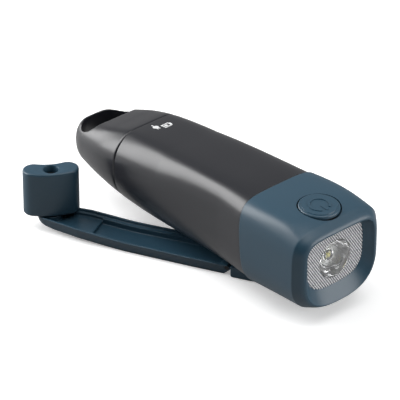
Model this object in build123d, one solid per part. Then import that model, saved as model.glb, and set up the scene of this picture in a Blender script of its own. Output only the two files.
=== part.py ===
from build123d import *
import math
import os

os.makedirs("parts", exist_ok=True)

# A hand-cranked torch, in millimetres. X runs from the tail to the lens, Z is up, and the origin is
# where the crank's axis meets the plane that the torch rests on. The crank stands swung out beside the
# body, as it is photographed, with its arm level.

# Driving sizes of the outside
tail_reach = 101.5      # crank axis back to the tail's tip
front_reach = 47.5      # crank axis forward to the rim round the lens
tail_seam_reach = 62.5  # crank axis back to the joint between tail cap and body
head_seam_reach = 12.5  # crank axis forward to the joint between body and head
body_half_width = 20.0
body_depth = 40.2       # underside to flat top, at the head joint
body_lift = 5.8         # underside of the body above the resting plane
section_power = 2.6     # 2 is an ellipse, more is squarer
section_steps = 24
cut_over = 1.0          # how far a cutting tool runs past what it cuts

# Shares of the body's length, half width and depth along the barrel: place, half width, underside, crown.
# Place counts from the head joint (0) to the tail's tip (1).
barrel_shares = (
    (-0.06, 0.935, 0.000, 1.080),
    (0.000, 0.945, 0.000, 1.097),
    (0.130, 0.975, 0.006, 1.113),
    (0.270, 1.000, 0.015, 1.125),
    (0.470, 1.000, 0.040, 1.075),
    (0.650, 0.980, 0.075, 0.930),
    (0.770, 0.935, 0.098, 0.845),
    (0.877, 0.850, 0.130, 0.770),
    (0.945, 0.660, 0.190, 0.680),
    (0.985, 0.380, 0.270, 0.590),
    (1.000, 0.150, 0.350, 0.510),
)
# The flat top in side view: place, as above, and height over the underside as a share of the depth.
top_line_shares = ((-0.42, 1.0), (0.0, 1.0), (0.24, 0.985), (0.42, 0.945), (0.658, 0.855), (0.77, 0.785),
                   (0.877, 0.685), (0.955, 0.580), (1.06, 0.420))

# Walls, joints and fits
shell_wall = 2.0
spigot_wall = 1.6
spigot_gap = 0.15
head_spigot = 5.5
tail_spigot = 8.0
cap_depth = 10.5        # how deep the tail cap is hollow
seal_thick = 1.2
groove_deep = 0.8
part_gap = 0.3          # between pieces that move past each other
shaft_gap = 0.05        # radial, round a shaft that turns
seat_gap = 0.1          # between pieces that are laid together

# Head and lens
head_proud = 0.5        # the head stands this much over the body all round
front_half_width = 23.0
front_low = 7.2
front_high = 45.4
front_power = 4.4
front_low_power = 3.1   # the lower corners are rounder than the upper ones
head_edge = 0.8
head_wall = 2.2
rim_side = 2.4
rim_top = 5.0
rim_low = 2.6
lens_recess = 3.2
lens_side_slope = 2.6
lens_top_slope = 2.0
lens_low_slope = 3.2
lens_power = 4.6
rim_low_power = 3.7
lens_thick = 2.0
ledge_thick = 1.2
rib_pitch = 1.05
rib_deep = 0.5
rib_angle = 55.0
optic_bore = 16.6
gasket_thick = 0.8
gasket_width = 1.6
reflector_thick = 1.2
button_diameter = 16.0
button_gap = 0.45
button_ahead = 34.0     # crank axis forward to the button's centre
button_travel = 0.8
button_thick = 2.4
button_proud = 0.3
button_ledge = 1.4      # wall under the button, pierced for its stem
stem_diameter = 10.4
stem_wall = 1.4
stem_hook = 0.8         # the stem's legs hook under the ledge by this much
stem_slit = 2.2
button_pin = 3.0
tact_size = 6.0
tact_height = 3.2
plunger_diameter = 3.5
plunger_height = 0.8
switch_board_behind = 8.8
switch_board_ahead = 5.2
switch_board_width = 22.0
switch_boss = 3.8
switch_boss_places = ((-6.5, 6.5), (2.0, 9.0))   # from the button's centre
icon_ring = 8.2
icon_width = 0.7
icon_raise = 0.25

# Tail ring: the hole takes the knob when the crank is folded
nest_length = 24.4
nest_width = 13.0
nest_scoop_low = 18.5   # height over the body's underside where the scooped side begins
nest_scoop_high = 36.0
nest_scoop_run = 9.0
nest_scoop_side = 1.2

# Crank
crank_radius = 90.0
rest_turn = 25.5        # how far the arm is swung out from under the body
hinge_reach = 9.9       # crank axis to the hinge pin
hinge_rise = 3.6
hinge_pin_diameter = 2.0
arm_half_width = 9.2
arm_mid_half_width = 8.4
arm_end_half_width = 6.3
arm_depth = 5.0
arm_wall = 2.0
arm_floor = 1.5
arm_tray_floor = 2.6
arm_draft = 1.6         # the sides lean in by this much at the bottom
arm_bow = 13.0          # length over which the underside rises to the knob
arm_bow_start = 15.0    # from the knob's pin back to where the outline starts to narrow
knuckle_width = 7.0
hub_gap = 0.4
hub_half_width = 9.4
hub_edge = 0.6
arm_lip = 1.1           # a ledge runs round the channel, this wide and deep
tray_start = 70.0       # crank axis to where the channel's floor steps up to the knob
arm_tip_rise = 3.0
knob_boss = 9.0
knob_turn_gap = 0.3     # knob's underside over the arm's rim

# Knob
knob_length = 23.0
knob_thick = 9.4
knob_bend = 30.0        # radius of the kidney's centre line
knob_height = 20.4
knob_edge = 0.8
knob_turn = -58.5       # how the free knob stands turned on its pin
knob_pin_diameter = 4.0
knob_recess = 6.2
knob_recess_deep = 3.2

# Gear train
gear_module = 0.5
pressure_angle = 25.0
addendum_share = 0.80
dedendum_share = 1.05
tooth_backlash = 0.09
crank_teeth = 54
gear_hole_count = 6
gear_hole_share = 0.167      # of the crank gear's pitch diameter
gear_hole_out_share = 0.313
first_pinion_teeth = 12
first_wheel_teeth = 42
second_pinion_teeth = 12
second_wheel_teeth = 38
rotor_teeth = 10
gear_thick = 2.2
wheel_thick = 1.5
gear_gap = 0.4
gear_bore = 1.5
spindle_diameter = 5.0
hex_depth = 3.6         # how far the spindle's hexagon enters the hub
spindle_head = 6.4
plate_thick = 1.2
base_rise = 4.2         # inner floor up to the gearbox base, where the barrel is wide enough
base_ahead = 8.8
base_back = 58.8
cover_ahead = -8.0
cover_back = 53.0
post_diameter = 3.6
post_places = ((-24.0, 11.6), (-50.5, 10.4))
foot_back = 54.5
foot_apart = 4.5
foot_diameter = 5.0
bush_wall = 1.2
boss_wall = 1.6
seal_width = 0.9
seal_radius = 3.7
seal_deep = 0.9

# Generator, cell and boards
rotor_diameter = 12.0
rotor_height = 5.4
rotor_gap = 0.4
stator_diameter = 23.0
stator_wall = 0.8
claw_count = 8
claw_width = 3.0
board_thick = 1.2
cell_length = 44.0
cell_width = 25.0
cell_thick = 7.2
cell_edge = 2.0
cell_back = 38.0        # crank axis back to the cell's tail end
pad_thick = 0.6
main_board_width = 22.0
main_board_ahead = -24.0
board_post_places = ((-56.4, 8.4),)
# Controller, choke and the cell's plug: x, y, length, width, height
board_part_places = ((-63.0, -2.5, 5.0, 5.0, 1.0), (-63.2, 5.0, 4.0, 4.0, 2.2), (-42.6, -7.5, 3.0, 5.0, 3.0))
usb_width = 7.6
usb_height = 2.8
usb_depth = 6.0
pipe_diameter = 1.8
pipe_pitch = 3.6
pipe_back = 47.0        # crank axis back to the charge lights

# Light source
led_board_diameter = 17.0
led_board_thick = 1.6
led_board_back = 32.4   # crank axis forward to the board's back
led_size = 3.5
led_high = 1.2
optic_small = 8.4
optic_flange = 1.0
optic_well = 5.0
optic_well_deep = 3.4
sink_thick = 1.4
sink_flange = 6.0

# Lugs in the tail spigot that take the socket plate's screws
lug_out = 11.6
lug_width = 5.0
lug_z = 23.0

# Screws
small_screw = 1.6
small_head = 2.8
small_head_thick = 0.9
big_screw = 2.5
big_head = 4.6
big_head_thick = 1.6
slot_long_share = 0.7
slot_wide_share = 0.2

body_top = body_lift + body_depth
barrel_length = head_seam_reach + tail_reach


def section_plane(x):
    """A plane across the torch, with its own X along Y and its own Y up."""
    return Plane(origin=(x, 0, 0), x_dir=(0, 1, 0), z_dir=(1, 0, 0))


def ring_section(x, half_width, low, high, power, low_power=None):
    """A superellipse across the torch: the outline of a barrel or head at one station. Its lower half may
    have a power of its own."""
    middle = (low + high) / 2
    half_height = (high - low) / 2
    points = []
    for step in range(section_steps):
        turn = math.tau * step / section_steps
        used = low_power if low_power and math.sin(turn) < 0 else power
        across = math.copysign(abs(math.cos(turn)) ** (2 / used), math.cos(turn))
        upward = math.copysign(abs(math.sin(turn)) ** (2 / used), math.sin(turn))
        points.append((half_width * across, middle + half_height * upward))
    return section_plane(x) * make_face(Spline(*points, periodic=True))


def barrel_x(place):
    return head_seam_reach - place * barrel_length


barrels_made = {}


def barrel(inset):
    """The round form of body and tail in one sweep, shrunk by a wall. Each inset is lofted once."""
    if inset in barrels_made:
        return barrels_made[inset]
    faces = []
    for place, width, low, crown in barrel_shares:
        half_width = body_half_width * width
        half_height = body_depth * (crown - low) / 2
        shrink = min(inset, half_width / 2, half_height / 2)
        faces.append(ring_section(barrel_x(place), half_width - shrink, body_lift + body_depth * low + shrink,
                                  body_lift + body_depth * crown - shrink, section_power))
    barrels_made[inset] = loft(faces)
    return barrels_made[inset]


def under_top(drop):
    """Everything below the flat top, lowered by a wall."""
    line = [(barrel_x(place), body_lift + body_depth * share - drop) for place, share in top_line_shares]
    base = -body_depth
    edges = Spline(*line) + Polyline(line[-1], (line[-1][0], base), (line[0][0], base), line[0])
    reach = body_half_width * 2
    return extrude(Plane.XZ * make_face(edges), reach, both=True)


def slab(x_low, x_high):
    """All of the torch between two places along it."""
    size = 2 * (front_half_width + body_depth)
    return Pos((x_low + x_high) / 2, 0, 0) * Box(x_high - x_low, size, 2 * size)


def hull_of_barrel(inset, x_low, x_high):
    return barrel(inset) & under_top(inset) & slab(x_low, x_high)


def screw(diameter, length, head_diameter, head_thick):
    """A pan-head screw pointing down, its head's underside at the origin."""
    shank = Pos(0, 0, -length / 2) * Cylinder(diameter / 2, length)
    head = Pos(0, 0, head_thick / 2) * Cylinder(head_diameter / 2, head_thick)
    slot = Box(head_diameter * slot_long_share, head_diameter * slot_wide_share, head_thick)
    return shank + head - Pos(0, 0, head_thick) * slot


def folded_to_rest(shape):
    """The crank is drawn folded under the body, then swung out to where it rests."""
    return Rot(0, 0, rest_turn) * shape


def disc(diameter, low, high, x=0, y=0):
    """A round plate or pin standing on Z."""
    return Pos(x, y, (low + high) / 2) * Cylinder(diameter / 2, high - low)


def rod(diameter, x_low, x_high, z, y=0):
    """A round piece lying along X."""
    return Pos((x_low + x_high) / 2, y, z) * Rot(0, 90, 0) * Cylinder(diameter / 2, x_high - x_low)


def block(x_low, x_high, width, z_low, z_high, y=0):
    return Pos((x_low + x_high) / 2, y, (z_low + z_high) / 2) * Box(x_high - x_low, width, z_high - z_low)


def upright(face, low, high):
    """A plan outline raised between two heights."""
    return Pos(0, 0, low) * extrude(face, high - low)


# Heights inside the body, floor upwards
floor_top = body_lift + shell_wall
base_low = floor_top + base_rise
base_high = base_low + plate_thick
crank_gear_low = base_high + gear_gap
crank_gear_high = crank_gear_low + gear_thick
wheel_one_low = crank_gear_high + gear_gap
wheel_one_high = wheel_one_low + wheel_thick
wheel_two_low = wheel_one_high + gear_gap * 2
wheel_two_high = wheel_two_low + wheel_thick
cover_low = wheel_two_high + gear_gap
cover_high = cover_low + plate_thick
generator_low = cover_high + seat_gap
generator_high = generator_low + rotor_height + 2 * stator_wall + 2 * part_gap
board_low = generator_high + seat_gap
board_high = board_low + board_thick
cell_low = board_high + pad_thick
cell_high = cell_low + cell_thick
tail_seam = -tail_seam_reach
head_seam = head_seam_reach
spigot_inset = shell_wall + spigot_gap
spigot_end = tail_seam - tail_spigot
bush_diameter = spindle_diameter + 2 * (shaft_gap + bush_wall)
tail_groove = spigot_end + 2 * seal_thick
head_groove = head_seam + head_spigot / 2
seam_half_width = body_half_width * barrel_shares[1][1]
seam_low = body_lift + body_depth * barrel_shares[1][2]
seam_crown = body_lift + body_depth * barrel_shares[1][3]
lens_front = front_reach - lens_recess
lens_back = lens_front - lens_thick
ledge_front = lens_back - gasket_thick - seat_gap
ledge_back = ledge_front - ledge_thick
rim_half_width = front_half_width - rim_side
rim_bottom = front_low + rim_low
rim_ceiling = front_high - rim_top
lens_half_width = rim_half_width - lens_side_slope
lens_low = rim_bottom + lens_low_slope
lens_high = rim_ceiling - lens_top_slope
optic_z = (lens_low + lens_high) / 2
head_ceiling = body_top - rim_top
button_floor = head_ceiling + button_ledge
button_low = body_top + button_proud - button_thick
hook_diameter = stem_diameter + 2 * (stem_hook + button_gap)
hook_high = head_ceiling - seat_gap
hook_low = hook_high - stem_hook
switch_board_high = hook_low - button_travel - tact_height + plunger_height
switch_board_low = switch_board_high - board_thick
knuckle_radius = arm_depth - hinge_rise
knob_low = arm_depth + knob_turn_gap
knob_top = knob_low + knob_height


def axle_distance(teeth, other_teeth):
    """Centre distance of two meshed gears."""
    return gear_module * (teeth + other_teeth) / 2


first_axle_x = -axle_distance(crank_teeth, first_pinion_teeth)
second_axle_x = first_axle_x - axle_distance(first_wheel_teeth, second_pinion_teeth)
rotor_axle_x = second_axle_x - axle_distance(second_wheel_teeth, rotor_teeth)


def half_tooth_angle(teeth, radius):
    """Half the angle of a tooth at a radius, by the involute of the base circle."""
    pitch_radius = gear_module * teeth / 2
    base_radius = pitch_radius * math.cos(math.radians(pressure_angle))
    slope = math.acos(min(base_radius / max(radius, base_radius), 1))
    pitch_slope = math.radians(pressure_angle)
    at_pitch = math.pi / (2 * teeth) - tooth_backlash / (2 * pitch_radius)
    return at_pitch + (math.tan(pitch_slope) - pitch_slope) - (math.tan(slope) - slope)


def gear_outline(teeth, first_tooth):
    """A spur gear's outline, with one tooth centred on the angle first_tooth, in degrees."""
    pitch_radius = gear_module * teeth / 2
    root_radius = pitch_radius - gear_module * dedendum_share
    radii = (root_radius, pitch_radius, pitch_radius + gear_module * addendum_share)
    points = []
    for tooth in range(teeth):
        centre = math.radians(first_tooth) + math.tau * tooth / teeth
        rising = [(radius, centre - half_tooth_angle(teeth, radius)) for radius in radii]
        falling = [(radius, centre + half_tooth_angle(teeth, radius)) for radius in reversed(radii)]
        points += [(radius * math.cos(turn), radius * math.sin(turn)) for radius, turn in rising + falling]
    return make_face(Polyline(*points, close=True))


def gear(teeth, first_tooth, low, high, x, bore):
    blank = Pos(x, 0, 0) * upright(gear_outline(teeth, first_tooth), low, high)
    return blank - disc(bore, low - cut_over, high + cut_over, x)


def slice_of_barrel(inset, x_low, x_high, low, high):
    """A flat piece cut to the barrel's own outline, so that it sits inside the shell."""
    return hull_of_barrel(inset, x_low, x_high) & block(x_low, x_high, 2 * body_half_width, low, high)


def ring(outer, inner, low, high, x=0, y=0):
    return disc(outer, low, high, x, y) - disc(inner, low - cut_over, high + cut_over, x, y)


def both_sides(places):
    """Each place along the torch, on the left and on the right."""
    return [(x, side * y) for x, y in places for side in (-1, 1)]


def body_shell():
    """The barrel's moulding: hollow, with a spigot at each end, a boss for the spindle's bush, feet for the
    gearbox, and holes for the charge lights."""
    outer = hull_of_barrel(0, tail_seam, head_seam)
    tube = outer - hull_of_barrel(shell_wall, tail_seam - cut_over, head_seam + cut_over)
    root = spigot_wall * 2
    for low, high in ((spigot_end, tail_seam + root), (head_seam - root, head_seam + head_spigot)):
        bore = hull_of_barrel(spigot_inset + spigot_wall, low, high)
        web = hull_of_barrel(shell_wall / 2, max(low, tail_seam), min(high, head_seam))
        tube += hull_of_barrel(spigot_inset, low, high) + web - bore
    boss = bush_diameter + 2 * boss_wall
    tube += disc(boss, floor_top - shell_wall / 2, base_low - seat_gap)
    tube -= disc(bush_diameter + 2 * seat_gap, 0, base_low)
    for x, y in both_sides(((-foot_back, foot_apart),)):
        foot = disc(foot_diameter, floor_top, base_low - seat_gap, x, y)
        tube += foot
        tube -= disc(small_screw, floor_top + shell_wall, base_low, x, y)
    lug_low = spigot_end + plate_thick + 2 * seat_gap
    for side in (-1, 1):
        lug = block(lug_low, tail_seam, body_half_width, lug_z - lug_width / 2, lug_z + lug_width / 2,
                    side * (lug_out + body_half_width / 2 - lug_width / 2))
        tube += lug & hull_of_barrel(spigot_inset, spigot_end, tail_seam)
        tube -= rod(small_screw, spigot_end, tail_seam, lug_z, side * lug_out)
    for low in (tail_groove, head_groove):
        tube -= seal_ring(low, low + seal_thick, shell_wall + seat_gap, spigot_inset + groove_deep)
    for pipe in range(3):
        tube -= disc(pipe_diameter + 2 * seat_gap, cell_high, body_top, -pipe_back, (pipe - 1) * pipe_pitch)
    return tube


def nest_outline(length, width):
    """The hole through the tail ring: a slot lying across the torch."""
    return Rot(0, 0, 90) * SlotOverall(length, width)


def tail_cap():
    """The tail cap with its ring: hollow behind the seam, then the scooped hole that takes the knob."""
    tip = -tail_reach - cut_over
    cap = hull_of_barrel(0, tip, tail_seam)
    cap -= hull_of_barrel(shell_wall, tail_seam - cap_depth, tail_seam + cut_over)
    hole = upright(nest_outline(nest_length, nest_width), 0, body_top)
    low = upright(nest_outline(nest_length, nest_width), 0, cut_over)
    lower = Pos(0, 0, body_lift + nest_scoop_low) * nest_outline(nest_length, nest_width)
    wide = nest_outline(nest_length + 2 * nest_scoop_side, nest_width + nest_scoop_run)
    upper = Pos(nest_scoop_run / 2, 0, body_lift + nest_scoop_high) * wide
    return cap - Pos(-crank_radius, 0, 0) * (hole + loft([lower, upper], ruled=True))


def seal_ring(x_low, x_high, outer_inset, inner_inset):
    inside = hull_of_barrel(inner_inset, x_low - cut_over, x_high + cut_over)
    return hull_of_barrel(outer_inset, x_low, x_high) - inside


def seal_in_groove(groove):
    play = seat_gap / 2
    return seal_ring(groove + play, groove + seal_thick - play, shell_wall + play,
                     spigot_inset + groove_deep - seat_gap)


def tail_seal():
    """A square rubber ring in the tail spigot's groove, which the cap grips."""
    return seal_in_groove(tail_groove)


def socket_plate():
    """The plate that shuts the tail spigot and frames the charging socket."""
    low = spigot_end + seat_gap
    plate = hull_of_barrel(spigot_inset + spigot_wall + seat_gap, low, low + plate_thick)
    plate -= block(low - cut_over, low + plate_thick + cut_over, usb_width + 2 * seat_gap,
                   board_low - usb_height - seat_gap, board_low)
    for y in (-lug_out, lug_out):
        plate -= rod(small_screw + 2 * seat_gap, low - cut_over, low + plate_thick + cut_over, lug_z, y)
    return plate


def socket_screws():
    return [Pos(spigot_end + seat_gap, y, lug_z) * Rot(0, -90, 0)
            * screw(small_screw - 2 * shaft_gap, 4 * small_screw, small_head, small_head_thick)
            for y in (-lug_out, lug_out)]


def usb_socket():
    """The folded steel shell of the charging socket, under the board's tail end, with its tongue."""
    low = spigot_end
    wall = usb_height / 8
    bottom = board_low - usb_height
    shell = block(low, low + usb_depth, usb_width, bottom, board_low)
    inside = block(low - cut_over, low + usb_depth - wall, usb_width - 2 * wall, bottom + wall,
                   board_low - wall)
    tongue = block(low + wall, low + usb_depth - wall / 2, usb_width / 2, bottom + usb_height / 2 - wall / 2,
                   bottom + usb_height / 2 + wall / 2)
    return shell - inside + tongue


def ring_prism(x_low, x_high, half_width, low, high, power, low_power=None):
    outline = ring_section(x_low, half_width, low, high, power, low_power)
    return extrude(outline, x_high - x_low, dir=(1, 0, 0))


def lens_prism(x_low, x_high, grow):
    """The lens's outline, let out or drawn in, between two places along the torch."""
    return ring_prism(x_low, x_high, lens_half_width + grow, lens_low - grow, lens_high + grow, lens_power)


def head_shell():
    """The head: round at the body and square at the front, with a flat top, the lens's seat in a sloped
    rim, the well for the button, and bosses for the switch's board."""
    back = ring_section(head_seam, seam_half_width + head_proud, seam_low - head_proud,
                        seam_crown + head_proud, section_power)
    front = ring_section(front_reach, front_half_width, front_low, front_high, front_power, front_low_power)
    shell = loft([back, front], ruled=True)
    shell = fillet(shell.edges().group_by(Axis.X)[-1], head_edge) & under_top(0)
    shell -= hull_of_barrel(shell_wall, head_seam - cut_over, head_seam + head_spigot + part_gap)
    narrow = ring_section(head_seam, seam_half_width - head_wall, seam_low + head_wall, head_ceiling,
                          front_power, section_power)
    wide = ring_section(ledge_back, rim_half_width, rim_bottom, rim_ceiling, front_power, front_low_power)
    shell -= loft([narrow, wide], ruled=True)
    shell -= lens_prism(ledge_back - cut_over, ledge_front + cut_over, -gasket_width)
    shell -= lens_prism(ledge_front, lens_front, seat_gap)
    inner = ring_section(lens_front, lens_half_width + seat_gap, lens_low - seat_gap, lens_high + seat_gap,
                         lens_power)
    outer = ring_section(front_reach, rim_half_width, rim_bottom, rim_ceiling, lens_power, rim_low_power)
    shell -= loft([inner, outer], ruled=True)
    for x, y in switch_bosses():
        boss = disc(switch_boss, switch_board_high + seat_gap, button_floor, x, y)
        shell += boss & under_top(shell_wall)
    shell -= disc(button_diameter + 2 * button_gap, button_floor, body_top + cut_over, button_ahead)
    shell -= disc(stem_diameter + 2 * button_gap, switch_board_high, body_top, button_ahead)
    shell -= disc(hook_diameter + 2 * part_gap, switch_board_high, head_ceiling, button_ahead)
    for x, y in switch_bosses():
        shell -= disc(small_screw, switch_board_high, head_ceiling, x, y)
    return shell


def switch_bosses():
    """The four bosses round the button's stem."""
    return both_sides([(button_ahead + ahead, out) for ahead, out in switch_boss_places])


def head_seal():
    """A square rubber ring in the head spigot's groove."""
    return seal_in_groove(head_groove)


def power_button():
    """The round button: a cap with a slit stem whose hooked legs hold it under the ledge, a pin for the
    switch, and the raised power sign."""
    top = button_low + button_thick
    button = disc(button_diameter, button_low, top, button_ahead)
    button = chamfer(button.edges().group_by(Axis.Z)[-1], button_thick / 4)
    stem = disc(stem_diameter, hook_low, button_low, button_ahead)
    stem += disc(hook_diameter, hook_low, hook_high, button_ahead)
    stem -= disc(stem_diameter - 2 * stem_wall, hook_low - cut_over, button_low, button_ahead)
    reach = stem_diameter + button_diameter
    depth = 2 * (button_low - hook_low)
    slits = Box(reach, stem_slit, depth) + Box(stem_slit, reach, depth)
    stem -= Pos(button_ahead, 0, hook_low) * Rot(0, 0, 45) * slits
    pin_low = switch_board_high + tact_height + plunger_height + button_travel + seat_gap
    button += stem + disc(button_pin, pin_low, button_low, button_ahead)
    sign = ring(icon_ring, icon_ring - 2 * icon_width, top, top + icon_raise)
    sign -= Pos(-icon_ring / 2, 0, top) * Box(icon_ring / 2, icon_ring / 2, icon_ring)
    sign += Pos(-icon_ring * 3 / 8, 0, top + icon_raise / 2) * Box(icon_ring / 2, icon_width, icon_raise)
    return button + Pos(button_ahead, 0, 0) * sign


def button_seal():
    """A soft sleeve between the ledge and the button, squeezed as the button goes down."""
    outer = button_diameter - button_gap
    inner = stem_diameter + 4 * button_gap
    return ring(outer, inner, button_floor + seat_gap, button_low - seat_gap, button_ahead)


def tact_switch():
    """The small square switch with its plunger."""
    high = switch_board_high + tact_height
    half = tact_size / 2
    case = block(button_ahead - half, button_ahead + half, tact_size, switch_board_high, high)
    return case + disc(plunger_diameter, high, high + plunger_height, button_ahead)


def switch_board():
    board = block(button_ahead - switch_board_behind, button_ahead + switch_board_ahead, switch_board_width,
                  switch_board_low, switch_board_high)
    for x, y in switch_bosses():
        board -= disc(small_screw + 2 * seat_gap, switch_board_low, switch_board_high, x, y)
    return board


def switch_screws():
    shape = Rot(180, 0, 0) * screw(small_screw - 2 * shaft_gap, 2 * small_screw, small_head, small_head_thick)
    return [Pos(x, y, switch_board_low) * shape for x, y in switch_bosses()]


def lens_plate():
    """The clear plate: fine slanted ribs spread the light to the sides, round a clear bore for the optic."""
    plate = lens_prism(lens_back, lens_front, 0)
    count = int(2 * lens_half_width / rib_pitch) + 2
    profile = [(lens_front + cut_over, -count * rib_pitch)]
    for rib in range(-count, count):
        profile.append((lens_front, rib * rib_pitch))
        profile.append((lens_front - rib_deep, (rib + 1 / 2) * rib_pitch))
    profile += [(lens_front, count * rib_pitch), (lens_front + cut_over, count * rib_pitch)]
    grooves = extrude(make_face(Polyline(*profile, close=True)), 2 * lens_half_width, both=True)
    plate -= Pos(0, 0, optic_z) * Rot(rib_angle, 0, 0) * grooves
    return plate - rod(optic_bore, lens_back - cut_over, lens_front + cut_over, optic_z)


def lens_gasket():
    """The flat rubber frame behind the lens."""
    outer = lens_prism(lens_back - gasket_thick, lens_back - seat_gap / 2, -seat_gap)
    return outer - lens_prism(lens_back - 2 * gasket_thick, lens_back + cut_over, -gasket_width)


def reflector():
    """The metallised plate behind the lens, which throws stray light back through the ribs."""
    plate = lens_prism(lens_back - seat_gap - reflector_thick, lens_back - seat_gap, -gasket_width - part_gap)
    return plate - rod(optic_bore + 2 * seat_gap, ledge_back, lens_back, optic_z)


def optic():
    """The collimator: a solid flared cup of clear plastic, with a well for the light chip."""
    back = led_board_back + led_board_thick + seat_gap
    big = optic_bore / 2 - shaft_gap
    flange_back = lens_front - optic_flange
    outline = Polyline((back, optic_well / 2), (back, optic_small / 2))
    outline += Spline((back, optic_small / 2), ((back + flange_back) / 2, big * 0.86), (flange_back, big))
    outline += Polyline((flange_back, big), (lens_front, big), (lens_front, 0), (back + optic_well_deep, 0),
                        (back + optic_well_deep, optic_well / 2), (back, optic_well / 2))
    return Pos(0, 0, optic_z) * revolve(make_face(outline), Axis.X)


def led_chip():
    """The light chip: a square base with a low dome."""
    back = led_board_back + led_board_thick
    base = block(back, back + led_high, led_size, optic_z - led_size / 2, optic_z + led_size / 2)
    dome = Pos(back + led_high, 0, optic_z) * Sphere(led_size / 2 - seat_gap)
    return base + (dome & slab(back + led_high / 2, back + 2 * led_size))


def led_screw_places():
    out = led_board_diameter / 2 - small_head / 2
    return ((-out, optic_z), (out, optic_z))


def led_board():
    board = rod(led_board_diameter, led_board_back, led_board_back + led_board_thick, optic_z)
    for y, z in led_screw_places():
        board -= rod(small_screw + 2 * seat_gap, led_board_back, led_board_back + led_board_thick, z, y)
    return board


def led_board_screws():
    length = led_board_thick + sink_thick
    shape = Rot(0, 90, 0) * screw(small_screw - 2 * shaft_gap, length, small_head, small_head_thick)
    return [Pos(led_board_back + led_board_thick, y, z) * shape for y, z in led_screw_places()]


def heat_sink():
    """The pressed aluminium plate that carries the light board, with a turned flange along its foot."""
    back = led_board_back - sink_thick
    share = (back - head_seam) / (ledge_back - head_seam)
    half_width = seam_half_width - head_wall + (rim_half_width - seam_half_width + head_wall) * share
    half_width -= 2 * part_gap
    low = seam_low + head_wall + (rim_bottom - seam_low - head_wall) * share + 2 * part_gap
    high = switch_board_low - small_head_thick - part_gap
    plate = ring_prism(back, led_board_back, half_width, low, 2 * optic_z - low, section_power)
    plate &= block(back, led_board_back, 2 * half_width, low, high)
    flange = block(back - sink_flange, led_board_back, half_width, low + sink_thick / 4, low + sink_thick)
    plate += flange
    for y, z in led_screw_places():
        plate -= rod(small_screw, back - cut_over, led_board_back, z, y)
    return plate


def gearbox_base():
    """The lower gear plate, cut to the barrel's inside, with bearing holes, four posts for the upper plate
    and two tall posts for the main board."""
    plate = slice_of_barrel(shell_wall + part_gap, -base_back, base_ahead, base_low, base_high)
    for x, y in both_sides(post_places):
        plate += disc(post_diameter, base_high, cover_low - seat_gap, x, y)
    plate -= disc(spindle_diameter + 2 * shaft_gap, base_low, base_high)
    for x in (first_axle_x, second_axle_x):
        plate -= disc(gear_bore, base_low, base_high, x)
    plate -= disc(gear_bore + 2 * shaft_gap, base_low, base_high, rotor_axle_x)
    for x, y in both_sides(((-foot_back, foot_apart),)):
        plate -= disc(small_screw + 2 * seat_gap, base_low, base_high, x, y)
    for x, y in both_sides(post_places):
        plate -= disc(small_screw, cover_low - 3 * small_screw, cover_low, x, y)
    for x, y in both_sides(board_post_places):
        plate += disc(post_diameter, base_high, board_low - seat_gap, x, y)
        plate -= disc(small_screw, board_low - 3 * small_screw, board_low, x, y)
    return plate


def gearbox_cover():
    """The upper gear plate, which holds the tops of the axles and carries the generator."""
    plate = slice_of_barrel(shell_wall + 2 * part_gap, -cover_back, cover_ahead, cover_low, cover_high)
    for x in (first_axle_x, second_axle_x):
        plate -= disc(gear_bore, cover_low, cover_high, x)
    plate -= disc(gear_bore + 2 * shaft_gap, cover_low, cover_high, rotor_axle_x)
    for x, y in both_sides(post_places):
        plate -= disc(small_screw + 2 * seat_gap, cover_low, cover_high, x, y)
    return plate


def standing_screws(places, z, length):
    shape = screw(small_screw - 2 * shaft_gap, length, small_head, small_head_thick)
    return [Pos(x, y, z) * shape for x, y in both_sides(places)]


def gearbox_screws():
    return standing_screws(post_places, cover_high, 3 * small_screw)


def base_screws():
    return standing_screws(((-foot_back, foot_apart),), base_high, plate_thick + small_screw)


def board_screws():
    return standing_screws(board_post_places, board_high, plate_thick + 2 * small_screw)


def gear_axles():
    """The fixed pins of the two idler gears."""
    return [disc(gear_bore - 2 * shaft_gap, base_low, cover_high, x) for x in (first_axle_x, second_axle_x)]


def crank_bush():
    """The bronze bush in the floor boss."""
    tube = disc(bush_diameter, body_lift, base_low - seat_gap)
    return tube - disc(spindle_diameter + 2 * shaft_gap, 0, base_low)


def spindle_seal():
    """The rubber ring in the hub's groove, under the body."""
    inner = 2 * seal_radius + 2 * seat_gap
    low = arm_depth - seal_deep + seat_gap
    return ring(inner + 2 * (seal_width - 2 * seat_gap), inner, low, body_lift - part_gap)


def hexagon(corner_radius, low, high):
    return upright(RegularPolygon(corner_radius, 6), low, high)


def crank_spindle():
    """The steel spindle, with a hexagon at each end for the hub and the crank gear."""
    corner = spindle_diameter / 2
    shaft = disc(spindle_diameter, arm_depth, base_high + gear_gap / 2)
    shaft += hexagon(corner, arm_depth - hex_depth, arm_depth)
    shaft += hexagon(corner, base_high + gear_gap / 2, crank_gear_high - seat_gap)
    return shaft - disc(big_screw - 2 * seat_gap, crank_gear_high - 3 * big_screw, crank_gear_high)


def crank_gear():
    wheel = gear(crank_teeth, 180, crank_gear_low, crank_gear_high, 0, big_screw)
    size = crank_teeth * gear_module
    for spoke in range(gear_hole_count):
        turn = 360 * (spoke + 1 / 2) / gear_hole_count
        hole = disc(size * gear_hole_share, crank_gear_low, crank_gear_high, size * gear_hole_out_share)
        wheel -= Rot(0, 0, turn) * hole
    return wheel - folded_to_rest(hexagon(spindle_diameter / 2 + seat_gap, crank_gear_low, crank_gear_high))


def spindle_screw():
    shape = screw(big_screw - 4 * seat_gap, 2 * big_screw, spindle_head, small_head_thick)
    return Pos(0, 0, crank_gear_high) * shape


def hinge_rod(diameter, length):
    """A round piece on the hinge's axis, across the folded crank."""
    return Pos(-hinge_reach, 0, hinge_rise) * Rot(90, 0, 0) * Cylinder(diameter / 2, length)


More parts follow.
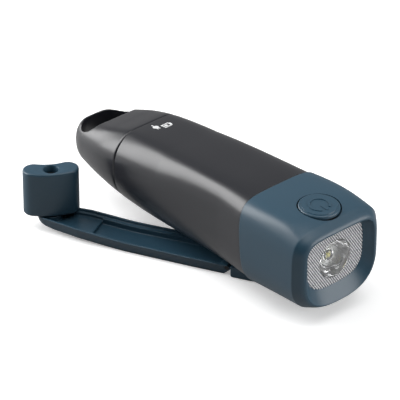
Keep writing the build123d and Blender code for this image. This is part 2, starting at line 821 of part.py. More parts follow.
def crank_hub():
    """The crank's hub: square at the hinge and round beyond the spindle, with a knuckle for the hinge pin."""
    face_x = -(hinge_reach - knuckle_radius - hub_gap)
    plan = Circle(hub_half_width) + Pos(face_x / 2, 0) * Rectangle(-face_x, 2 * hub_half_width)
    hub = upright(plan, 0, arm_depth) & slab(face_x, hub_half_width)
    hub = chamfer(hub.edges().group_by(Axis.Z)[0], hub_edge)
    hub += block(-hinge_reach, face_x + cut_over, knuckle_width, hinge_rise - knuckle_radius, arm_depth)
    hub += hinge_rod(2 * knuckle_radius, knuckle_width)
    hub -= hinge_rod(hinge_pin_diameter + 2 * shaft_gap, 2 * knuckle_width)
    hub -= hexagon(spindle_diameter / 2 + seat_gap, arm_depth - hex_depth - seat_gap, arm_depth)
    groove = 2 * seal_radius
    return hub - ring(groove + 2 * seal_width, groove, arm_depth - seal_deep, arm_depth)


def hinge_pin():
    return hinge_rod(hinge_pin_diameter, 2 * (arm_half_width - arm_draft / 2))


def arm_plan(inset):
    """The arm from above: straight at the hinge, then narrowing to a round end at the knob."""
    hub_end = knuckle_radius - hinge_reach
    straight = arm_half_width
    end = Pos(-crank_radius, 0) * Circle(arm_end_half_width - inset)
    middle = Pos(-crank_radius + arm_bow_start, 0) * Circle(arm_mid_half_width - inset)
    square = Pos(hub_end - straight, 0) * Rectangle(2 * straight, 2 * (straight - inset))
    return make_hull(end.edges() + middle.edges() + square.edges())


def arm_side():
    """The arm in side view: its end bevelled under the hinge so that it can drop, its tip swept up."""
    reach = crank_radius + arm_end_half_width
    lean = knuckle_radius * math.sin(math.pi / 4)
    foot = reach - arm_bow
    heel = (lean - hinge_reach, hinge_rise - lean)
    edges = Polyline((-foot, 0), (heel[0] - heel[1], 0), heel, (-hinge_reach, arm_depth), (-reach, arm_depth),
                     (-reach, arm_tip_rise))
    edges += TangentArc((-foot, 0), (-reach, arm_tip_rise), tangent=(-1, 0))
    side = extrude(Plane.XZ * make_face(edges), arm_half_width, both=True)
    return side + hinge_rod(2 * knuckle_radius, 2 * arm_half_width)


def crank_arm():
    """The channel-shaped arm with drafted sides, a fork for the hinge and a boss for the knob's pin."""
    arm = loft([arm_plan(arm_draft), Pos(0, 0, arm_depth) * arm_plan(0)], ruled=True) & arm_side()
    channel_x = -(hinge_reach + knuckle_radius + arm_wall + hub_gap)
    lip = upright(arm_plan(arm_lip), arm_depth - arm_lip, arm_depth + cut_over)
    channel = upright(arm_plan(arm_lip + arm_wall / 2 + arm_draft / 2), arm_floor, arm_depth + cut_over)
    tray = upright(arm_plan(arm_lip + arm_wall / 2), arm_tray_floor, arm_depth + cut_over)
    arm -= lip & slab(-2 * crank_radius, channel_x + arm_lip)
    arm -= channel & slab(-tray_start, channel_x)
    arm -= tray & slab(-2 * crank_radius, -tray_start)
    arm += disc(knob_boss, arm_floor, arm_depth, -crank_radius) & arm_side()
    slot = knuckle_width + 2 * part_gap
    slot_end = hinge_reach + knuckle_radius + hub_gap
    arm -= block(-slot_end, 0, slot, -cut_over, arm_depth + cut_over)
    arm -= hinge_rod(hinge_pin_diameter, 4 * arm_half_width)
    pin = knob_pin_diameter - 2 * shaft_gap
    return arm - disc(pin, arm_floor - cut_over, arm_depth + cut_over, -crank_radius)


def knob_pin():
    """The steel pin that the knob turns on, with a hole for its screw."""
    top = knob_top - knob_recess_deep
    pin = disc(knob_pin_diameter - 2 * shaft_gap, arm_floor - cut_over, top, -crank_radius)
    return pin - disc(big_screw + 2 * shaft_gap, top - 5 * big_screw, top, -crank_radius)


def knob_screw():
    shape = screw(big_screw, 4 * big_screw, big_head, big_head_thick)
    return Pos(-crank_radius, 0, knob_top - knob_recess_deep) * shape


def knob():
    """The free-turning finger knob: a kidney in plan, with rounded rims, its pin's bore and a recess."""
    bend = math.degrees((knob_length - knob_thick) / knob_bend)
    line = CenterArc((-knob_bend, 0), knob_bend, -bend / 2, bend)
    grip = upright(SlotArc(line, knob_thick), knob_low, knob_top)
    rims = grip.edges().group_by(Axis.Z)
    grip = fillet(rims[0] + rims[-1], knob_edge)
    grip -= disc(knob_pin_diameter + 2 * shaft_gap, 0, knob_top)
    grip -= disc(knob_recess, knob_top - knob_recess_deep, knob_top + cut_over)
    return Pos(-crank_radius, 0, 0) * Rot(0, 0, knob_turn) * grip


def idler_gear(wheel_teeth, pinion_teeth, x, pinion_low, pinion_high, wheel_low, wheel_high):
    """A wheel and a pinion in one moulding, turning on a pin."""
    bore = gear_bore
    pinion = gear(pinion_teeth, 180 / pinion_teeth, pinion_low, pinion_high, x, bore)
    wheel = gear(wheel_teeth, 180, wheel_low, wheel_high, x, bore)
    neck = ring(gear_module * (pinion_teeth - 2 * dedendum_share), bore, pinion_high, wheel_low, x)
    return pinion + neck + wheel


def idler_gear_1():
    return idler_gear(first_wheel_teeth, first_pinion_teeth, first_axle_x, crank_gear_low, crank_gear_high,
                      wheel_one_low, wheel_one_high)


def idler_gear_2():
    return idler_gear(second_wheel_teeth, second_pinion_teeth, second_axle_x, wheel_one_low, wheel_one_high,
                      wheel_two_low, wheel_two_high)


def rotor_pinion():
    bore = gear_bore + 2 * shaft_gap
    return gear(rotor_teeth, 180 / rotor_teeth, wheel_two_low, wheel_two_high, rotor_axle_x, bore)


def rotor_shaft():
    return disc(gear_bore, base_low, generator_high, rotor_axle_x)


def rotor_magnet():
    low = generator_low + stator_wall + part_gap
    return ring(rotor_diameter, gear_bore + 2 * shaft_gap, low, low + rotor_height, rotor_axle_x)


def stator_plate(low, high):
    return ring(stator_diameter, gear_bore + 2 * shaft_gap, low, high, rotor_axle_x)


def stator_core():
    """The steel cup of the generator, with its ring of claw poles round the magnet."""
    wall = stator_wall
    high = generator_high - wall - seat_gap
    cup = stator_plate(generator_low, generator_low + wall)
    cup += ring(stator_diameter, stator_diameter - 2 * wall, generator_low, high, rotor_axle_x)
    claw_inner = rotor_diameter + 2 * rotor_gap
    claws = ring(claw_inner + 2 * wall, claw_inner, generator_low, high, rotor_axle_x)
    for claw in range(claw_count):
        gap = Box(claw_inner, claw_width / 2, high - generator_low)
        place = Rot(0, 0, 360 * claw / claw_count) * Pos(claw_inner / 2, 0, high - (high - generator_low) / 4)
        claws -= Pos(rotor_axle_x, 0, 0) * place * gap
    return cup + claws


def stator_cap():
    return stator_plate(generator_high - stator_wall, generator_high)


def stator_coil():
    """The generator's winding, a ring between the cup and the claws."""
    inner = rotor_diameter + 2 * rotor_gap + 2 * stator_wall + 2 * part_gap
    outer = stator_diameter - 2 * stator_wall - 2 * part_gap
    low = generator_low + stator_wall + seat_gap
    return ring(outer, inner, low, generator_high - stator_wall - part_gap, rotor_axle_x)


def main_board():
    inset = spigot_inset + spigot_wall + 2 * seat_gap
    end = spigot_end + plate_thick + 3 * seat_gap
    board = slice_of_barrel(inset, end, main_board_ahead, board_low, board_high)
    board &= block(-tail_reach, 0, main_board_width, board_low, board_high)
    for x, y in both_sides(board_post_places):
        board -= disc(small_screw + 2 * seat_gap, board_low, board_high, x, y)
    return board


def board_parts():
    """The larger parts on the main board: the charge controller, a choke and the cell's plug."""
    return [Pos(x, y, board_high + height / 2) * Box(long, wide, height)
            for x, y, long, wide, height in board_part_places]


def charge_leds():
    """Three tiny lamps on the board, one under each light pipe."""
    size = pipe_diameter * slot_long_share
    lamp = Pos(-pipe_back, 0, board_high + size / 4) * Box(size, size, size / 2)
    return [Pos(0, (pipe - 1) * pipe_pitch, 0) * lamp for pipe in range(3)]


def light_pipes():
    """Three clear rods from the lamps up through the flat top."""
    low = board_high + pipe_diameter * slot_long_share / 2 + seat_gap
    rods = [disc(pipe_diameter, low, body_top, -pipe_back, (pipe - 1) * pipe_pitch) for pipe in range(3)]
    return [pipe & under_top(seat_gap) for pipe in rods]


def battery_pad():
    return block(-cell_back, -cell_back + cell_length, cell_width, board_high, cell_low)


def battery_cell():
    """The flat pouch cell."""
    cell = block(-cell_back, -cell_back + cell_length, cell_width, cell_low, cell_high)
    return fillet(cell.edges().filter_by(Axis.Y), cell_edge)


still_pieces = (body_shell, tail_cap, tail_seal, head_shell, head_seal, power_button, button_seal,
                tact_switch, switch_board, switch_screws, lens_plate, lens_gasket, optic, led_chip,
                led_board, heat_sink, reflector, led_board_screws, main_board, board_parts,
                usb_socket, socket_plate, socket_screws, charge_leds, light_pipes, battery_cell,
                battery_pad, gearbox_base, gearbox_cover, gearbox_screws, base_screws, board_screws,
                gear_axles, crank_bush, spindle_seal, crank_gear, spindle_screw, idler_gear_1,
                idler_gear_2, rotor_pinion, rotor_shaft, rotor_magnet, stator_core, stator_cap,
                stator_coil)
crank_pieces = (crank_spindle, crank_hub, hinge_pin, crank_arm, knob_pin, knob_screw, knob)


def save(piece, turned):
    """Writes one sub-part; several solids in one node go together as a group."""
    shape = piece()
    if isinstance(shape, list):
        shape = Compound(children=shape)
    if turned:
        shape = folded_to_rest(shape)
    export_step(shape, f"parts/{piece.__name__}.step")


for piece in still_pieces:
    save(piece, False)
for piece in crank_pieces:
    save(piece, True)
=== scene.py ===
import math
import bmesh
import bpy
from mathutils import Matrix, Vector


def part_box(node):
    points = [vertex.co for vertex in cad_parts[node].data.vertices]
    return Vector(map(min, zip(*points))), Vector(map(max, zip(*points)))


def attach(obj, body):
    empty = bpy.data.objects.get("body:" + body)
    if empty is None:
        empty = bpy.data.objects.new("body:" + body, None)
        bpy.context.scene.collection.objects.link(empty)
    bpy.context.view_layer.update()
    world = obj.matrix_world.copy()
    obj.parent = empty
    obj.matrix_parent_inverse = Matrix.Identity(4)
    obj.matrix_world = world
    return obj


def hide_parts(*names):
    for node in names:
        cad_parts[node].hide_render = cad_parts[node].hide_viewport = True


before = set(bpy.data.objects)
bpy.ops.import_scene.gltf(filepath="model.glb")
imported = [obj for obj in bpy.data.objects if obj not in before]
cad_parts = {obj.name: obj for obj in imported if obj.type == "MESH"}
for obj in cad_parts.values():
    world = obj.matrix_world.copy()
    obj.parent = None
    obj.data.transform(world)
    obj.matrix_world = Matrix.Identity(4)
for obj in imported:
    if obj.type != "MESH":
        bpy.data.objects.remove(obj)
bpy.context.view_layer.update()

mm = 0.001


# The barrel's moulding.
# A tube of glossy black ABS, injection moulded in one piece, round below and flat on top. A spigot at its
# tail end takes the cap, which is pushed over it, and one sweep gives the form of both.
def srgb(code):
    """A web colour as the linear numbers that a shader takes."""
    channels = [int(code[i:i + 2], 16) / 255 for i in (1, 3, 5)]
    return tuple(c / 12.92 if c <= 0.04045 else ((c + 0.055) / 1.055) ** 2.4 for c in channels) + (1.0,)


def add_node(tree, kind, settings=None, links=None):
    """Adds one shader node: its settings by property or input name, its links by input name or number."""
    made = tree.nodes.new(kind)
    for key, value in (settings or {}).items():
        if hasattr(made, key):
            setattr(made, key, value)
        else:
            made.inputs[key].default_value = value
    for key, source in (links or {}).items():
        tree.links.new(source, made.inputs[key])
    return made


def new_material(name):
    """A node material with its tree, its shader and the place on the object."""
    material = bpy.data.materials.new(name)
    material.use_nodes = True
    tree = material.node_tree
    place = add_node(tree, "ShaderNodeTexCoord").outputs["Object"]
    return material, tree, tree.nodes["Principled BSDF"], place


def plastic(name, colour, roughness, grain_mm, grain_depth_mm, worn=0.03, coat=0.0):
    """A moulded plastic with a fine spark-eroded grain, its gloss uneven where hands have been."""
    material, tree, shader, place = new_material(name)
    grain = add_node(tree, "ShaderNodeTexNoise", {"Scale": 1 / (grain_mm * mm), "Detail": 2.0},
                     {"Vector": place})
    cloud_mm = 14
    cloud = add_node(tree, "ShaderNodeTexNoise", {"Scale": 1 / (cloud_mm * mm), "Detail": 3.0},
                     {"Vector": place})
    tone = add_node(tree, "ShaderNodeMapRange", {"To Min": 1 - worn, "To Max": 1 + worn},
                    {0: cloud.outputs["Fac"]})
    tint = add_node(tree, "ShaderNodeVectorMath", {"operation": "SCALE"}, {"Scale": tone.outputs[0]})
    tint.inputs[0].default_value = srgb(colour)[:3]
    gloss = add_node(tree, "ShaderNodeMapRange", {"To Min": roughness - worn, "To Max": roughness + worn},
                     {0: cloud.outputs["Fac"]})
    bump = add_node(tree, "ShaderNodeBump", {"Strength": 0.35, "Distance": grain_depth_mm * mm},
                    {"Height": grain.outputs["Fac"]})
    tree.links.new(tint.outputs[0], shader.inputs["Base Color"])
    tree.links.new(gloss.outputs[0], shader.inputs["Roughness"])
    tree.links.new(bump.outputs[0], shader.inputs["Normal"])
    shader.inputs["IOR"].default_value = 1.53
    shader.inputs["Coat Weight"].default_value = coat
    shader.inputs["Coat Roughness"].default_value = 0.22
    return material


black_abs = plastic("moulded_black_abs", "#11131b", 0.33, 0.35, 0.005, coat=0.3)

tail_tip_x = -101.45
barrel_start_x = 12.5
head_seam_x = 13.6
tail_seam_x = -63.7
lean_shares = ((-101.5, 0.0), (-63.7, -1.0), (13.6, -2.55), (43.0, 0.0))
body_half_width = 20.0
body_depth = 40.2
body_lift = 5.8
body_power = 2.4
seam_power = 3.14
body_softness = 0.3
seam_softness = 2.3
shell_wall = 2.0
spigot_inset = 2.15
spigot_wall = 1.6
spigot_reach = 8
spigot_root = 3.2
seam_bevel = 0.35
barrel_shares = (
    (-0.06, 1.063, 0.000, 1.055), (0.000, 1.066, 0.000, 1.061), (0.130, 1.010, 0.001, 1.075),
    (0.270, 0.996, 0.003, 1.058), (0.470, 1.019, 0.002, 0.995), (0.650, 1.006, 0.047, 0.922),
    (0.770, 0.951, 0.110, 0.840), (0.877, 0.806, 0.157, 0.732), (0.945, 0.658, 0.186, 0.662),
    (0.985, 0.450, 0.275, 0.620), (1.000, 0.148, 0.352, 0.553),
)
top_line_shares = ((-0.42, 1.0), (0.0, 1.0), (0.24, 0.971), (0.42, 0.939), (0.658, 0.875), (0.77, 0.795),
                   (0.877, 0.705), (0.955, 0.650), (1.06, 0.450))
ring_points = 160


def smooth_value(rows, column, place):
    """A smooth curve through a column of a table of shares, by cubic pieces with even slopes."""
    slopes = []
    for i in range(len(rows)):
        before, after = rows[max(i - 1, 0)], rows[min(i + 1, len(rows) - 1)]
        slopes.append((after[column] - before[column]) / (after[0] - before[0]))
    for i in range(len(rows) - 1):
        if place <= rows[i + 1][0] or i == len(rows) - 2:
            span = rows[i + 1][0] - rows[i][0]
            t = (place - rows[i][0]) / span
            a, b = rows[i][column], rows[i + 1][column]
            return ((2 * t**3 - 3 * t**2 + 1) * a + (t**3 - 2 * t**2 + t) * span * slopes[i]
                    + (3 * t**2 - 2 * t**3) * b + (t**3 - t**2) * span * slopes[i + 1])


def superellipse(x, half_width, low, high, upper_power, lower_power):
    """One ring across the torch, in millimetres."""
    points = []
    for step in range(ring_points):
        turn = math.tau * step / ring_points
        c, s = math.cos(turn), math.sin(turn)
        power = upper_power if s > 0 else lower_power
        y = half_width * math.copysign(abs(c) ** (2 / power), c)
        z = (low + high) / 2 + (high - low) / 2 * math.copysign(abs(s) ** (2 / power), s)
        points.append([x, y, z])
    return points


def flatten(points, height, softness):
    """Presses a ring down to the flat top, with a soft crease."""
    for point in points:
        over = (point[2] - height) / softness
        if over > 4:
            point[2] = height
        elif over > -4:
            point[2] -= softness * math.log(1 + math.exp(over))
    return points


def along(rows, x):
    """A straight-line curve through a table of two columns."""
    for (x0, v0), (x1, v1) in zip(rows, rows[1:]):
        if x <= x1:
            return v0 + (v1 - v0) * max(0, x - x0) / (x1 - x0)
    return rows[-1][1]


def straight_ring(x, inset, extra=0.0):
    """A ring of the barrel square to its length, its corners rounder and creases sharper at the tail."""
    place = (barrel_start_x - x) / (barrel_start_x - tail_tip_x)
    half_width = body_half_width * smooth_value(barrel_shares, 1, place) - inset - extra
    low = body_lift + body_depth * smooth_value(barrel_shares, 2, place) + inset + extra
    high = body_lift + body_depth * smooth_value(barrel_shares, 3, place) - inset - extra
    top = body_lift + body_depth * smooth_value(top_line_shares, 1, place) - inset - extra
    power = body_power + (seam_power - body_power) * min(max(1 - place / 0.45, 0), 1.1)
    softness = body_softness + seam_softness * max(0, 1 - place / 0.7)
    return flatten(superellipse(x, half_width, low, high, power, power), top, softness)


def barrel_ring(x, inset, extra=0.0):
    """A ring of the barrel that leans as its joints do."""
    ahead_by = 4
    here, ahead = straight_ring(x, inset, extra), straight_ring(x + ahead_by, inset, extra)
    lean = along(lean_shares, x)
    ring = []
    for p, q in zip(here, ahead):
        share = lean * (p[2] - body_lift) / body_depth / ahead_by
        ring.append([a + (b - a) * share for a, b in zip(p, q)])
    return ring


def skin(rings, closed):
    """A mesh of quads through rings of points, in millimetres; closed joins the last ring to the first."""
    mesh = bmesh.new()
    rows = [[mesh.verts.new([c * mm for c in point]) for point in ring] for ring in rings]
    pairs = list(zip(rows, rows[1:])) + ([(rows[-1], rows[0])] if closed else [])
    for here, there in pairs:
        for i in range(len(here)):
            j = (i + 1) % len(here)
            mesh.faces.new((here[i], here[j], there[j], there[i]))
    if not closed:
        mesh.faces.new(rows[0])
        mesh.faces.new(rows[-1])
    bmesh.ops.recalc_face_normals(mesh, faces=mesh.faces)
    return mesh


def piece_from(name, meshes, material, smooth_angle=35):
    """Joins meshes into one named piece with its material, shaded smooth up to an angle."""
    data = bpy.data.meshes.new(name)
    whole = bmesh.new()
    for mesh in meshes:
        part = bpy.data.meshes.new("part")
        mesh.to_mesh(part)
        whole.from_mesh(part)
        bpy.data.meshes.remove(part)
    whole.to_mesh(data)
    data.materials.append(material)
    piece = bpy.data.objects.new(name, data)
    bpy.context.scene.collection.objects.link(piece)
    shade(piece, smooth_angle)
    return piece


def shade(piece, smooth_angle):
    """Smooth shading up to an angle between faces, in degrees."""
    piece.data.polygons.foreach_set("use_smooth", [True] * len(piece.data.polygons))
    piece.data.set_sharp_from_angle(angle=math.radians(smooth_angle))


def steps(start, end, count):
    """Evenly spaced places, both ends among them."""
    return [start + (end - start) * i / (count - 1) for i in range(count)]


def tube(x_low, x_high, inset, wall, count, bevel):
    """A closed length of the barrel's wall, with its outer rims bevelled."""
    outer = [barrel_ring(x_low, inset, bevel)]
    outer += [barrel_ring(x, inset) for x in steps(x_low + bevel, x_high - bevel, count)]
    outer += [barrel_ring(x_high, inset, bevel)]
    inner = [barrel_ring(x, inset + wall) for x in steps(x_high, x_low, count)]
    return skin(outer + inner, closed=True)


body_shell = piece_from("body_shell_moulding", [
    tube(tail_seam_x, head_seam_x, 0, shell_wall, 120, seam_bevel),
    tube(tail_seam_x - spigot_reach, tail_seam_x + spigot_root, spigot_inset, spigot_wall, 24, seam_bevel),
], black_abs)
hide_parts("body_shell")
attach(body_shell, "torch")


# The tail cap.
# Glossy black ABS, pushed over the barrel's spigot. It is moulded with the ring that the crank's knob stands
# in when folded. The hole is a bean in plan, and its rims are well rounded.
hole_x = -92.0
hole_reach = 6.9
hole_half_width = 12.1
hole_power = 2.35
hole_bow = 1.9
hole_flare = 0.6
hole_waist_z = 24
hole_top_z = 60
cap_cavity_x = -73.0
cap_voxel_mm = 0.42
cap_rounds = 14


def hole_ring(z, grow):
    """The hole's outline at one height, as a ring of points."""
    points = []
    count = 128
    for step in range(count):
        turn = math.tau * step / count
        c, s = math.cos(turn), math.sin(turn)
        y = (hole_half_width + grow) * math.copysign(abs(s) ** (2 / hole_power), s)
        x = hole_x + (hole_reach + grow) * math.copysign(abs(c) ** (2 / hole_power), c)
        points.append([x + hole_bow * (y / hole_half_width) ** 2, y, z])
    return points


def cutter(name, mesh):
    """A tool that carve takes away with."""
    tool = piece_from(name, [mesh], black_abs)
    tool.hide_render = True
    return tool


def baked(piece):
    """Applies the piece's modifiers and clears them."""
    bpy.context.view_layer.update()
    result = bpy.data.meshes.new_from_object(piece.evaluated_get(bpy.context.evaluated_depsgraph_get()))
    old = piece.data
    piece.modifiers.clear()
    piece.data = result
    result.name = piece.name
    bpy.data.meshes.remove(old)


def carve(piece, tools):
    """Cuts the tools out of the piece and removes them."""
    for tool in tools:
        cut = piece.modifiers.new("cut", "BOOLEAN")
        cut.operation = "DIFFERENCE"
        cut.solver = "EXACT"
        cut.object = tool
    baked(piece)
    for tool in tools:
        bpy.data.objects.remove(tool)


def softened(piece, voxel_mm, rounds, material):
    """Rounds every edge of a piece as a mould leaves it."""
    even = piece.modifiers.new("even", "REMESH")
    even.mode = "VOXEL"
    even.voxel_size = voxel_mm * mm
    relax = piece.modifiers.new("relax", "SMOOTH")
    relax.factor = 0.5
    relax.iterations = rounds
    baked(piece)
    shade(piece, 60)
    piece.data.materials.clear()
    piece.data.materials.append(material)


tip_rings = [barrel_ring(tail_tip_x + 0.02, 0, extra) for extra in (0.0, 0.8, 1.6, 2.4)]
cap_rings = [barrel_ring(tail_seam_x, 0, seam_bevel)]
cap_rings += [barrel_ring(x, 0) for x in steps(tail_seam_x - seam_bevel, tail_tip_x + 3, 70)]
cap_rings += [barrel_ring(x, 0) for x in steps(tail_tip_x + 2.8, tail_tip_x + 0.02, 16)] + tip_rings[1:]
tail_cap = piece_from("tail_cap_moulding", [skin(cap_rings, closed=False)], black_abs)
hole = skin([hole_ring(0, hole_flare), hole_ring(hole_waist_z, 0), hole_ring(hole_top_z, 2 * hole_flare)],
            closed=False)
cavity = skin([barrel_ring(x, shell_wall) for x in steps(cap_cavity_x, tail_seam_x + 1, 24)], closed=False)
carve(tail_cap, [cutter("hole_tool", hole), cutter("cavity_tool", cavity)])
softened(tail_cap, cap_voxel_mm, cap_rounds, black_abs)
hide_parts("tail_cap")
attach(tail_cap, "cap")


# The head.
# Slate-blue ABS with a fine satin grain, moulded as one shell and pushed on the barrel. Its front is squarer,
# with a swelling bevel, a lip and a rim that slopes in to the lens. A round well takes the button.
slate_abs = plastic("moulded_slate_blue_abs", "#284556", 0.38, 0.30, 0.008, worn=0.03)
crease_x = 43.1
lip_x = 46.8
head_proud = 0.5
front_half_width = 22.95
front_low = 7.1
front_high = 43.5
front_power = 4.5
front_low_power = 2.78
top_swell = 1.4
lip_half_width = 18.5
lip_low = 8.2
lip_high = 39.7
lip_power = 5.6
lip_low_power = 2.6
lens_front_x = 43.55
lens_half_width = 14.9
lens_low = 14.3
lens_high = 38.6
lens_power = 4.6
lens_low_power = 3.0
seat_half_width = 18.05
seat_low = 12.95
seat_high = 38.45
seat_power = 4.6
seat_back_x = 41.4
ledge_step = 1.6
ledge_back_x = 40.2
head_inner_half_width = 20.6
head_inner_low = 9.8
head_inner_high = 40.4
neck_x = 20
neck_half_width = 17
neck_low = 8.6
neck_high = 41
button_x = 34.2
button_well = 17.7
top_height = body_lift + body_depth
button_floor = top_height - 5.0 + 1.4
stem_hole_radius = 5.8


def blend(a, b, share):
    """A value part of the way from one to the other."""
    return a + (b - a) * share


def head_ring(x, shrink=0.0):
    """A ring of the head, between the barrel's form and the squarer front."""
    share = (x - barrel_start_x) / (crease_x - barrel_start_x)
    start = [smooth_value(barrel_shares, column, 0) for column in (1, 2, 3)]
    half_width = blend(body_half_width * start[0] + head_proud, front_half_width, share) - shrink
    low = blend(body_lift + body_depth * start[1] - head_proud, front_low, share) + shrink
    high = blend(body_lift + body_depth * start[2] + head_proud, front_high, share) - shrink
    high += 4 * top_swell * share * (1 - share)
    upper, lower = blend(seam_power, front_power, share), blend(seam_power, front_low_power, share)
    ring = superellipse(x, half_width, low, high, upper, lower)
    ring = flatten(ring, top_height - shrink, body_softness + seam_softness * (1 - share))
    for point in ring:
        point[0] += along(lean_shares, x) * (point[2] - body_lift) / body_depth
    return ring


def mixed(first, second, share, x):
    """A ring part of the way from one ring to another, at its own place along the torch."""
    return [[x] + [blend(p[i], q[i], share) for i in (1, 2)] for p, q in zip(first, second)]


lip = superellipse(lip_x, lip_half_width, lip_low, lip_high, lip_power, lip_low_power)
crease = head_ring(crease_x)
lens_edge = superellipse(lens_front_x, lens_half_width, lens_low, lens_high, lens_power, lens_low_power)
seat = superellipse(0, seat_half_width, seat_low, seat_high, seat_power, seat_power)
ledge = superellipse(0, seat_half_width - ledge_step, seat_low + ledge_step, seat_high - ledge_step,
                     seat_power, seat_power)
head_rings = [head_ring(head_seam_x, 0.5), head_ring(head_seam_x + 0.12, 0.15), head_ring(head_seam_x + 0.4)]
head_rings += [head_ring(x) for x in steps(head_seam_x + 1, crease_x - 0.5, 44)]
head_rings += [head_ring(crease_x - 0.12), head_ring(crease_x - 0.02, 0.03)]
bevel_rows = 24
for step in range(1, bevel_rows + 1):
    share = (step / bevel_rows) ** 1.3
    swell = math.sin(share * math.pi / 2) ** 1.1
    head_rings.append(mixed(crease, lip, share, crease_x + (lip_x - crease_x) * swell))
head_rings += [mixed(lip, lens_edge, 0.04, lip_x - 0.02), mixed(lip, lens_edge, 0.10, lip_x - 0.25)]
for share in (0.3, 0.5, 0.7, 0.9):
    head_rings.append(mixed(lip, lens_edge, share, blend(lip_x, lens_front_x, share)))
head_rings += [mixed(lens_edge, lens_edge, 0, lens_front_x - depth) for depth in (0, 0.4, 1.15)]
head_rings += [mixed(seat, seat, 0, x) for x in (lens_front_x - 1.2, seat_back_x)]
head_rings += [mixed(ledge, ledge, 0, x) for x in (seat_back_x, ledge_back_x)]
head_rings += [superellipse(ledge_back_x, head_inner_half_width, head_inner_low, head_inner_high, 4.4, 2.8)]
head_rings += [superellipse(neck_x, neck_half_width, neck_low, neck_high, 3.5, 3.0)]
head_rings += [barrel_ring(18, shell_wall), barrel_ring(head_seam_x + 0.2, shell_wall)]
head_shell = piece_from("head_moulding", [skin(head_rings, closed=True)], slate_abs)


def round_tool(name, x, radius, low, high):
    """An upright round cutter on the middle line."""
    mesh = bmesh.new()
    centre = Matrix.Translation((x * mm, 0, (low + high) / 2 * mm))
    bmesh.ops.create_cone(mesh, cap_ends=True, segments=128, radius1=radius * mm, radius2=radius * mm,
                          depth=(high - low) * mm, matrix=centre)
    return cutter(name, mesh)


carve(head_shell, [round_tool("well_tool", button_x, button_well / 2, button_floor, 60),
                   round_tool("stem_tool", button_x, stem_hole_radius, 30, 60)])
shade(head_shell, 24)
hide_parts("head_shell")
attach(head_shell, "torch")


# The button.
# A round cap of the same slate ABS with a rolled edge, standing in its well on a soft sleeve. The raised
# power sign is part of the moulding.
button_radius = 8.3
button_step = 1.1
button_step_rise = 0.22
button_top = 45.95
button_slope = 0.058
button_low = 43.9
button_roll = 0.7
stem_radius = 5.1
stem_low = 41.0
sign_radius = 4.6
sign_width = 0.95
sign_rise = 0.28
sign_root = 0.2
bar_start = 1.3
bar_end = 4.6


def circle(radius, count=128):
    """Points round a circle in plan."""
    turns = [math.tau * i / count for i in range(count)]
    return [(radius * math.cos(turn), radius * math.sin(turn)) for turn in turns]


def spun(profile, x):
    """A closed mesh from a profile of radius and height, turned round an upright line."""
    return skin([[[x + a, b, z] for a, b in circle(radius)] for radius, z in profile], closed=False)


def slab_mesh(outline, low, high):
    """An upright slab over an outline of points in plan."""
    return skin([[[x, y, low] for x, y in outline], [[x, y, high] for x, y in outline]], closed=False)


quarter = [math.radians(angle) for angle in (0, 15, 30, 45, 60, 75, 90)]
profile = [(stem_radius, stem_low), (stem_radius, button_low), (button_radius - 0.2, button_low),
           (button_radius, button_low + 0.2)]
shoulder = button_top - button_step_rise
profile += [(button_radius - button_roll * (1 - math.cos(a)), shoulder - button_roll * (1 - math.sin(a)))
            for a in quarter]
profile += [(button_radius - button_step, shoulder), (button_radius - button_step - 0.1, button_top)]
profile += [(6.0, button_top), (3.0, button_top + 0.01), (0.2, button_top + 0.015)]
gap_half = math.radians(30)
arc = [gap_half + (math.tau - 2 * gap_half) * i / 80 for i in range(81)]
sign_inner = sign_radius - sign_width
ring_outline = [(button_x + sign_radius * math.cos(a), sign_radius * math.sin(a)) for a in arc]
ring_outline += [(button_x + sign_inner * math.cos(a), sign_inner * math.sin(a)) for a in reversed(arc)]
bar = [(button_x + bar_start, -sign_width / 2), (button_x + bar_end, -sign_width / 2),
       (button_x + bar_end, sign_width / 2), (button_x + bar_start, sign_width / 2)]
sign_low, sign_high = button_top - sign_root, button_top + sign_rise
signs = [slab_mesh(outline, sign_low, sign_high) for outline in (ring_outline, bar)]
power_button = piece_from("power_button_cap", [spun(profile, button_x)] + signs, slate_abs, 30)
for corner in power_button.data.vertices:
    share = min(max(corner.co.z / mm - button_low, 0), 1)
    corner.co.z -= button_slope * (corner.co.x - button_x * mm) * share
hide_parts("power_button")
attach(power_button, "button")


# The lens.
# Clear polycarbonate, moulded with a row of fine slanted prisms that spread the light to the sides. It sits
# on a rubber frame, and behind it lies a metallised film with a round hole for the optic.
lens_thick = 1.1
rib_pitch = 0.92
rib_deep = 0.42
rib_slant = -55.8
optic_y = 0.0
optic_z = (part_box("optic")[0].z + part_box("optic")[1].z) / 2 / mm
optic_radius = 8.25


def clear_plastic(name, tint, roughness, clear_share=1.0):
    """A polished clear plastic, faintly streaked as it flowed into the mould."""
    material, tree, shader, place = new_material(name)
    flow = add_node(tree, "ShaderNodeTexNoise", {"Scale": 1 / (6 * mm), "Detail": 2.0}, {"Vector": place})
    gloss = add_node(tree, "ShaderNodeMapRange", {"To Min": roughness * 0.7, "To Max": roughness * 1.3},
                     {0: flow.outputs["Fac"]})
    bump = add_node(tree, "ShaderNodeBump", {"Strength": 0.2, "Distance": 0.01 * mm},
                    {"Height": flow.outputs["Fac"]})
    shader.inputs["Base Color"].default_value = srgb(tint)
    shader.inputs["Transmission Weight"].default_value = clear_share
    shader.inputs["IOR"].default_value = 1.58
    tree.links.new(gloss.outputs[0], shader.inputs["Roughness"])
    tree.links.new(bump.outputs[0], shader.inputs["Normal"])
    return material


